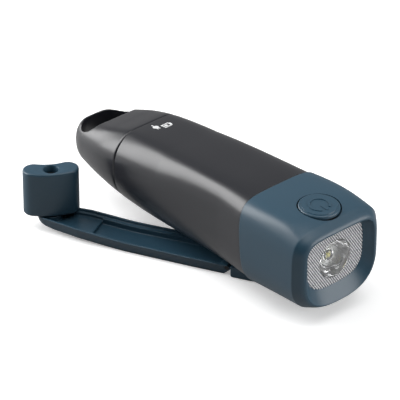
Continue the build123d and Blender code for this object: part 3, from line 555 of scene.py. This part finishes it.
def prismatic_plastic(name, tint, painted_shade_tint, pitch_mm, slant_deg, clear_share):
    """A clear plastic whose prisms look milky from outside, with the shade on one side of each prism painted
    into its colour as a dark stripe.
    """
    material = clear_plastic(name, tint, 0.12, clear_share)
    tree = material.node_tree
    shader = tree.nodes["Principled BSDF"]
    place = add_node(tree, "ShaderNodeTexCoord").outputs["Object"]
    way = math.radians(slant_deg)
    across = add_node(tree, "ShaderNodeVectorMath", {"operation": "DOT_PRODUCT"}, {0: place})
    across.inputs[1].default_value = (0, -math.sin(way), math.cos(way))
    turns = add_node(tree, "ShaderNodeMath", {"operation": "DIVIDE"}, {0: across.outputs["Value"]})
    turns.inputs[1].default_value = pitch_mm * mm
    saw = add_node(tree, "ShaderNodeMath", {"operation": "FRACT"}, {0: turns.outputs[0]})
    # Painted shade: the shaded side of each prism is painted into the base colour as a darker stripe.
    painted_flank_shade = add_node(tree, "ShaderNodeValToRGB", {}, {"Fac": saw.outputs[0]})
    painted_flank_shade.color_ramp.elements[0].color = srgb(tint)
    painted_flank_shade.color_ramp.elements[1].color = srgb(tint)
    painted_flank_shade.color_ramp.elements[0].position = 0.42
    painted_flank_shade.color_ramp.elements[1].position = 0.98
    for position in (0.56, 0.84):
        painted_flank_shade.color_ramp.elements.new(position).color = srgb(painted_shade_tint)
    tree.links.new(painted_flank_shade.outputs["Color"], shader.inputs["Base Color"])
    return material


def row_of(name):
    """A node group that repeats the object's own mesh along a straight line and dresses it."""
    tree = bpy.data.node_groups.new(name, "GeometryNodeTree")
    face = tree.interface
    face.new_socket("Geometry", in_out="INPUT", socket_type="NodeSocketGeometry")
    names = {}
    for label, kind in (("Count", "NodeSocketInt"), ("Start", "NodeSocketVector"),
                        ("Step", "NodeSocketVector"), ("Material", "NodeSocketMaterial")):
        names[label] = face.new_socket(label, in_out="INPUT", socket_type=kind).identifier
    face.new_socket("Geometry", in_out="OUTPUT", socket_type="NodeSocketGeometry")
    given = tree.nodes.new("NodeGroupInput")
    line = add_node(tree, "GeometryNodeMeshLine", {}, {
        "Count": given.outputs["Count"], "Start Location": given.outputs["Start"],
        "Offset": given.outputs["Step"]})
    copies = add_node(tree, "GeometryNodeInstanceOnPoints", {}, {
        "Points": line.outputs[0], "Instance": given.outputs["Geometry"]})
    real = add_node(tree, "GeometryNodeRealizeInstances", {}, {0: copies.outputs[0]})
    dressed = add_node(tree, "GeometryNodeSetMaterial", {}, {
        "Geometry": real.outputs[0], "Material": given.outputs["Material"]})
    tree.links.new(dressed.outputs[0], tree.nodes.new("NodeGroupOutput").inputs[0])
    return tree, names


def repeated(piece, tree, names, count, start, step, material):
    """Runs the group on the piece and keeps the result as a plain mesh."""
    added = piece.modifiers.new("row", "NODES")
    added.node_group = tree
    for label, value in (("Count", count), ("Start", start), ("Step", step), ("Material", material)):
        added[names[label]] = value
    baked(piece)


# The lens's darker stripes are painted shade, one for each prism.
clear_pc = prismatic_plastic("moulded_prismatic_polycarbonate", "#fafafc", "#8b8c92", rib_pitch, rib_slant,
                             clear_share=0.08)
slant = math.radians(rib_slant)
run_y, run_z = math.cos(slant), math.sin(slant)
half_rib, rib_long = rib_pitch / 2, 34.0
groove = []
for end in (-rib_long, rib_long):
    corner = []
    for off, ahead in ((-half_rib, 0.5), (half_rib, 0.5), (half_rib, 0.02), (0.0, -rib_deep),
                       (-half_rib, 0.02)):
        corner.append([lens_front_x + ahead, run_y * end - run_z * off, run_z * end + run_y * off])
    groove.append(corner)
count = int(2 * rib_long / rib_pitch)
rib_tool = piece_from("rib_tool", [skin(groove, closed=False)], clear_pc)
row_tree, row_names = row_of("row_of_grooves")
middle_z = (lens_low + lens_high) / 2
step_y, step_z = -run_z * rib_pitch * 1.001 * mm, run_y * rib_pitch * 1.001 * mm
repeated(rib_tool, row_tree, row_names, count,
         (0, -step_y * count / 2, middle_z * mm - step_z * count / 2), (0, step_y, step_z), clear_pc)
rib_tool.hide_render = True
plate = [mixed(lens_edge, lens_edge, 0, x) for x in (lens_front_x - lens_thick, lens_front_x - 0.02)]
lens_plate = piece_from("ribbed_lens", [skin(plate, closed=False)], clear_pc)


def spun_along(profile, y, z):
    """A closed mesh from a profile of place and radius, turned round a line along the torch."""
    return skin([[[x, y + a, z + b] for a, b in circle(radius)] for x, radius in profile], closed=False)


bore_radius = optic_radius + 0.05
optic_tool = cutter("optic_tool", spun_along([(38, bore_radius), (50, bore_radius)], optic_y, optic_z))
carve(lens_plate, [rib_tool, optic_tool])
shade(lens_plate, 20)
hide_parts("lens_plate")
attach(lens_plate, "torch")


def metal(name, colour, roughness, grain_mm, streak=1.0, depth_mm=0.004):
    """A bare or plated metal, its grain drawn out along one way by streak, its gloss a little uneven."""
    material, tree, shader, place = new_material(name)
    drawn = add_node(tree, "ShaderNodeMapping", {"Scale": (1 / streak, 1.0, 1.0)}, {"Vector": place})
    grain = add_node(tree, "ShaderNodeTexNoise", {"Scale": 1 / (grain_mm * mm), "Detail": 3.0},
                     {"Vector": drawn.outputs[0]})
    tone = add_node(tree, "ShaderNodeMapRange", {"To Min": 0.88, "To Max": 1.08}, {0: grain.outputs["Fac"]})
    tint = add_node(tree, "ShaderNodeVectorMath", {"operation": "SCALE"}, {"Scale": tone.outputs[0]})
    tint.inputs[0].default_value = srgb(colour)[:3]
    gloss = add_node(tree, "ShaderNodeMapRange", {"To Min": roughness * 0.8, "To Max": roughness * 1.25},
                     {0: grain.outputs["Fac"]})
    bump = add_node(tree, "ShaderNodeBump", {"Strength": 0.3, "Distance": depth_mm * mm},
                    {"Height": grain.outputs["Fac"]})
    shader.inputs["Metallic"].default_value = 1.0
    tree.links.new(tint.outputs[0], shader.inputs["Base Color"])
    tree.links.new(gloss.outputs[0], shader.inputs["Roughness"])
    tree.links.new(bump.outputs[0], shader.inputs["Normal"])
    return material


def dress(material, *nodes):
    """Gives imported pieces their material, in every slot that they have."""
    for node in nodes:
        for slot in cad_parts[node].material_slots:
            slot.material = material


dress(metal("vacuum_metallised_film", "#d9dbde", 0.22, 2.0), "reflector")


# The optic and its light chip.
# A solid collimator of clear acrylic, a flared cup turned as one form, with a well over a yellow light chip.
# The chip is soldered to a white aluminium-cored board that is screwed to a plain aluminium plate.
clear_acrylic = clear_plastic("polished_clear_acrylic", "#fbfcfd", 0.02, clear_share=0.9)
optic_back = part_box("optic")[0].x / mm
optic_front = lens_front_x
well_radius = 2.6
well_deep = 2.9
small_radius = 4.3
flange_thick = 1.4
cup = [(optic_back + well_deep, 0.05), (optic_back + well_deep - 0.1, 0.9),
       (optic_back + well_deep - 0.5, 1.9), (optic_back + 1.5, well_radius - 0.1),
       (optic_back, well_radius), (optic_back, small_radius)]
for i in range(1, 25):
    share = i / 24
    flare = (optic_radius - small_radius) * share ** 0.62
    cup.append((blend(optic_back, optic_front - flange_thick, share), small_radius + flare))
cup += [(optic_front - 1.3, optic_radius), (optic_front - 0.15, optic_radius),
        (optic_front, optic_radius - 0.15), (optic_front, 4.0), (optic_front, 0.05)]
optic = piece_from("collimator", [spun_along(cup, optic_y, optic_z)], clear_acrylic, 30)
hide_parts("optic")
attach(optic, "torch")

dress(plastic("yellow_phosphor_silicone", "#fbf08a", 0.35, 0.2, 0.004), "led_chip")
dress(plastic("white_solder_mask", "#e6e6e2", 0.45, 0.3, 0.003), "led_board")
dress(metal("milled_aluminium", "#b4b8bc", 0.38, 0.5, streak=6), "heat_sink")


# The crank.
# The hub, the channel-shaped arm and the finger knob are moulded of the same slate ABS as the head. The arm
# is hinged to the hub by a blackened steel pin, and the knob turns on a pin with a screw down its middle.
def moulded_copy(node, name, voxel_mm, rounds, material):
    """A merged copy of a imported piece, with its edges rounded as a mould leaves them."""
    mesh = bmesh.new()
    mesh.from_mesh(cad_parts[node].data)
    bmesh.ops.remove_doubles(mesh, verts=mesh.verts, dist=0.004 * mm)
    piece = piece_from(name, [mesh], material, 60)
    softened(piece, voxel_mm, rounds, material)
    return piece


crank_hub = moulded_copy("crank_hub", "crank_hub_moulding", 0.16, 4, slate_abs)
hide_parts("crank_hub")
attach(crank_hub, "crank")

rest_deg = 25.5
rest_turn = math.radians(rest_deg)
arm_rise = 1.6
rise_start = 52.0
rise_end = 84.0
crank_arm = moulded_copy("crank_arm", "crank_arm_moulding", 0.22, 4, slate_abs)
for corner in crank_arm.data.vertices:
    out = -(corner.co.x * math.cos(rest_turn) + corner.co.y * math.sin(rest_turn)) / mm
    share = min(max((out - rise_start) / (rise_end - rise_start), 0), 1)
    corner.co.z += arm_rise * mm * share * share * (3 - 2 * share)
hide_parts("crank_arm")
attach(crank_arm, "arm")

crank_radius = 90.0
knob_length = 23.2
knob_thick = 9.2
knob_bend = 22.0
knob_turn = math.radians(rest_deg - 60.0)
knob_low = 5.3 + arm_rise
knob_top = 26.8
knob_roll = 0.9
knob_recess = 3.1
knob_recess_deep = 4.2
knob_bore = 2.1


def knob_outline(inset):
    """A kidney in plan: a slot bent round an arc, round at both ends."""
    radius = knob_thick / 2 - inset
    half_bend = (knob_length - knob_thick) / 2 / knob_bend
    side_points, end_points = 64, 32
    points = []
    for side in (1, -1):
        for i in range(side_points):
            angle = side * (2 * half_bend * i / (side_points - 1) - half_bend)
            reach = knob_bend + side * radius
            points.append((reach * math.cos(angle) - knob_bend, reach * math.sin(angle)))
        for i in range(1, end_points):
            turn = side * half_bend + (1 - side) / 2 * math.pi + math.pi * i / end_points
            points.append((knob_bend * math.cos(half_bend) - knob_bend + radius * math.cos(turn),
                           side * knob_bend * math.sin(half_bend) + radius * math.sin(turn)))
    return points


def on_knob(points, z):
    """Points of the knob's own plan set down on the arm at one height."""
    centre = (-crank_radius * math.cos(rest_turn), -crank_radius * math.sin(rest_turn))
    c, s = math.cos(knob_turn), math.sin(knob_turn)
    return [[centre[0] + c * x - s * y, centre[1] + s * x + c * y, z] for x, y in points]


def circle_facing(points, radius):
    """A circle round the pin with one point facing each point of an outline."""
    return [(radius * x / math.hypot(x, y), radius * y / math.hypot(x, y)) for x, y in points]


plan = knob_outline(0)
knob_rings = [on_knob(circle_facing(plan, knob_bore), knob_low), on_knob(knob_outline(knob_roll), knob_low)]
knob_rings += [on_knob(knob_outline(knob_roll * (1 - math.sin(a))), knob_low + knob_roll * (1 - math.cos(a)))
               for a in quarter[1:]]
knob_rings += [on_knob(plan, z) for z in steps(knob_low + 2, knob_top - 2, 6)]
knob_rings += [on_knob(knob_outline(knob_roll * (1 - math.cos(a))), knob_top - knob_roll * (1 - math.sin(a)))
               for a in quarter]
for radius, deep in ((knob_recess + 0.5, 0), (knob_recess + 0.15, 0.08), (knob_recess, 0.3),
                     (knob_recess, knob_recess_deep), (knob_bore, knob_recess_deep)):
    knob_rings.append(on_knob(circle_facing(plan, radius), knob_top - deep))
knob = piece_from("finger_knob_moulding", [skin(knob_rings, closed=True)], slate_abs, 35)
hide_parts("knob")
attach(knob, "finger_knob")

dress(metal("blackened_steel_pin", "#3a3b3d", 0.45, 0.4), "hinge_pin", "knob_pin", "knob_screw")
dress(metal("ground_nickel_steel", "#a9adb1", 0.3, 0.3, streak=4), "crank_spindle", "gear_axles",
      "rotor_shaft")
dress(metal("zinc_plated_steel", "#9da2a6", 0.35, 0.5), "switch_screws", "led_board_screws", "socket_screws",
      "gearbox_screws", "base_screws", "board_screws", "spindle_screw")


# The charge lights and their printed marks.
# Three smoked clear rods end flush with the flat top. Beside them two small signs, a cell and a plug, are
# pad-printed in white on the black moulding.
dress(plastic("smoked_light_pipe", "#1a1b1e", 0.25, 0.3, 0.002), "light_pipes")
white_ink = plastic("pad_printed_white_ink", "#d8d9da", 0.5, 0.15, 0.004)
ink_thick = 0.05
ink_root = 0.1
stroke = 0.55


def top_z(x):
    """The height of the flat top."""
    return max(point[2] for point in straight_ring(x, 0))


def printed(outline):
    """A thin film of ink over the flat top."""
    return skin([[[x, y, top_z(x) + rise] for x, y in outline] for rise in (-ink_root, ink_thick)],
                closed=False)


def box(x0, y0, x1, y1):
    """A rectangle's corners in plan."""
    return [(x0, y0), (x1, y0), (x1, y1), (x0, y1)]


def frame_of(x0, y0, x1, y1):
    """Four strokes round a rectangle."""
    return [box(x0, y0, x1, y0 + stroke), box(x0, y1 - stroke, x1, y1),
            box(x0, y0 + stroke, x0 + stroke, y1 - stroke), box(x1 - stroke, y0 + stroke, x1, y1 - stroke)]


cell_sign = frame_of(-58.6, 0.6, -55.4, 4.4) + [box(-57.8, 4.4, -56.2, 5.0), box(-57.7, 1.5, -56.3, 2.9)]
plug_sign = [[(-59.0 + a, -1.6 + b) for a, b in circle(1.25, 24)], box(-58.2, -2.3, -56.8, -1.85),
             box(-58.2, -1.35, -56.8, -0.9), box(-61.6, -1.85, -60.1, -1.35)]
charge_marks = piece_from("printed_charge_marks", [printed(outline) for outline in cell_sign + plug_sign],
                          white_ink)
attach(charge_marks, "torch")


# The generator, its gears and the parts on the boards.
# Acetal gears on steel pins between two black plates, a claw-pole generator with a wound ring and a ferrite
# magnet, glass-fibre boards with their parts, and a foil-covered cell on a foam pad.
dress(plastic("milky_acetal", "#dcdad0", 0.38, 0.5, 0.003), "crank_gear", "idler_gear_1", "idler_gear_2")
dress(plastic("black_acetal", "#232427", 0.42, 0.5, 0.004), "gearbox_base", "gearbox_cover", "socket_plate")
dress(metal("sintered_bronze", "#a9854a", 0.42, 0.25, depth_mm=0.008), "crank_bush", "rotor_pinion")
dress(metal("pressed_nickel_plated_steel", "#b1b3b6", 0.28, 0.8), "stator_core", "stator_cap", "usb_socket")
dress(metal("enamelled_copper_wire", "#a9562a", 0.25, 0.18, streak=3, depth_mm=0.03), "stator_coil")
dress(plastic("pressed_ferrite", "#3a3a3b", 0.6, 0.12, 0.01), "rotor_magnet")
dress(plastic("green_solder_mask", "#1d5a33", 0.35, 0.8, 0.004), "main_board", "switch_board")
dress(plastic("black_epoxy", "#1b1b1d", 0.55, 0.1, 0.006), "board_parts", "tact_switch")
dress(plastic("amber_lamp_epoxy", "#dcb440", 0.3, 0.2, 0.002), "charge_leds")
dress(metal("aluminium_pouch_foil", "#b2b6ba", 0.4, 3.0, depth_mm=0.15), "battery_cell")
dress(plastic("closed_cell_foam", "#3b3b3c", 0.9, 0.3, 0.08), "battery_pad")
dress(plastic("black_silicone_rubber", "#1c1c1e", 0.6, 0.2, 0.006), "tail_seal", "head_seal", "button_seal",
      "lens_gasket", "spindle_seal")


# Camera, floor and lamps.
# The camera stands in front of the torch and above it, with a long lens. The torch lies on a plain white
# sweep, lit by soft boxes behind its left side, at its tail, above it and at its front.
turn_deg = 47.602
rise_deg = 31.138
roll_deg = 0.025
aim = Vector((-25.006, -8.409, 25.0)) * mm
distance = 1372.96 * mm
focal_px = 3436.94
photo_px = 400
camera_data = bpy.data.cameras.new("camera")
camera = bpy.data.objects.new("camera", camera_data)
bpy.context.scene.collection.objects.link(camera)
camera_data.sensor_width = 36.0
camera_data.lens = focal_px / photo_px * camera_data.sensor_width
az, el, roll = (math.radians(v) for v in (turn_deg, rise_deg, roll_deg))
back = Vector((math.sin(az) * math.cos(el), -math.cos(az) * math.cos(el), math.sin(el)))
right = Vector((math.cos(az), math.sin(az), 0))
up = back.cross(right)
right, up = right * math.cos(roll) + up * math.sin(roll), up * math.cos(roll) - right * math.sin(roll)
pose = Matrix((right, up, back)).transposed().to_4x4()
pose.translation = aim + back * distance
camera.matrix_world = pose
bpy.context.scene.camera = camera

scene = bpy.context.scene
scene.view_settings.view_transform = "Standard"
world = bpy.data.worlds.new("studio")
scene.world = world
world.use_nodes = True
tree = world.node_tree
ray = add_node(tree, "ShaderNodeLightPath")
way = add_node(tree, "ShaderNodeTexCoord").outputs["Generated"]
toward = add_node(tree, "ShaderNodeVectorMath", {"operation": "DOT_PRODUCT"}, {0: way})
toward.inputs[1].default_value = (0.60, -0.77, 0.22)
studio = add_node(tree, "ShaderNodeMapRange",
                  {"From Min": 0.0, "From Max": 0.85, "To Min": 0.38, "To Max": 0.02},
                  {0: toward.outputs["Value"]})
strength = add_node(tree, "ShaderNodeMapRange", {"To Max": 1.0},
                    {0: ray.outputs["Is Camera Ray"], "To Min": studio.outputs[0]})
tree.nodes["Background"].inputs["Color"].default_value = srgb("#ffffff")
tree.links.new(strength.outputs[0], tree.nodes["Background"].inputs["Strength"])

floor_material = plastic("white_paper_sweep", "#fafafa", 0.85, 0.5, 0.01, worn=0.01)
tree = floor_material.node_tree
shader = tree.nodes["Principled BSDF"]
ray = add_node(tree, "ShaderNodeLightPath")
mirrored = add_node(tree, "ShaderNodeMix", {"data_type": "RGBA"}, {0: ray.outputs["Is Glossy Ray"]})
mirrored.inputs[6].default_value = srgb("#7c7c7c")
mirrored.inputs[7].default_value = srgb("#b4b4b4")
seen = add_node(tree, "ShaderNodeMath", {"operation": "MAXIMUM"},
                {0: ray.outputs["Is Camera Ray"], 1: ray.outputs["Is Transmission Ray"]})
paper = add_node(tree, "ShaderNodeMix", {"data_type": "RGBA"}, {0: seen.outputs[0], 6: mirrored.outputs[2]})
paper.inputs[7].default_value = srgb("#fafafa")
tree.links.new(paper.outputs[2], shader.inputs["Base Color"])
glow = add_node(tree, "ShaderNodeMapRange", {"To Max": 0.3}, {0: ray.outputs["Is Camera Ray"]})
shader.inputs["Emission Color"].default_value = srgb("#ffffff")
tree.links.new(glow.outputs[0], shader.inputs["Emission Strength"])
floor_mesh = bmesh.new()
bmesh.ops.create_grid(floor_mesh, x_segments=1, y_segments=1, size=3.0)
floor = piece_from("floor", [floor_mesh], floor_material)


def softbox(name, direction, far, size, power):
    """A soft box that faces the torch: how far in metres, its sides in metres, its power in watts."""
    data = bpy.data.lights.new(name, "AREA")
    data.shape = "RECTANGLE"
    data.size, data.size_y = size
    data.energy = power
    lamp = bpy.data.objects.new(name, data)
    bpy.context.scene.collection.objects.link(lamp)
    direction = Vector(direction).normalized()
    lamp.location = aim + direction * far
    lamp.rotation_euler = direction.to_track_quat("Z", "Y").to_euler()


softbox("key_softbox", (-0.70, -0.50, 0.62), 0.9, (0.45, 1.1), 10)
softbox("tail_softbox", (-1.0, -0.12, 0.24), 0.9, (0.36, 0.36), 1.8)
softbox("top_softbox", (0.3, 0.1, 1.0), 1.1, (0.8, 0.8), 5)
softbox("front_softbox", (1.0, 0.65, 0.35), 1.1, (0.7, 0.6), 7)
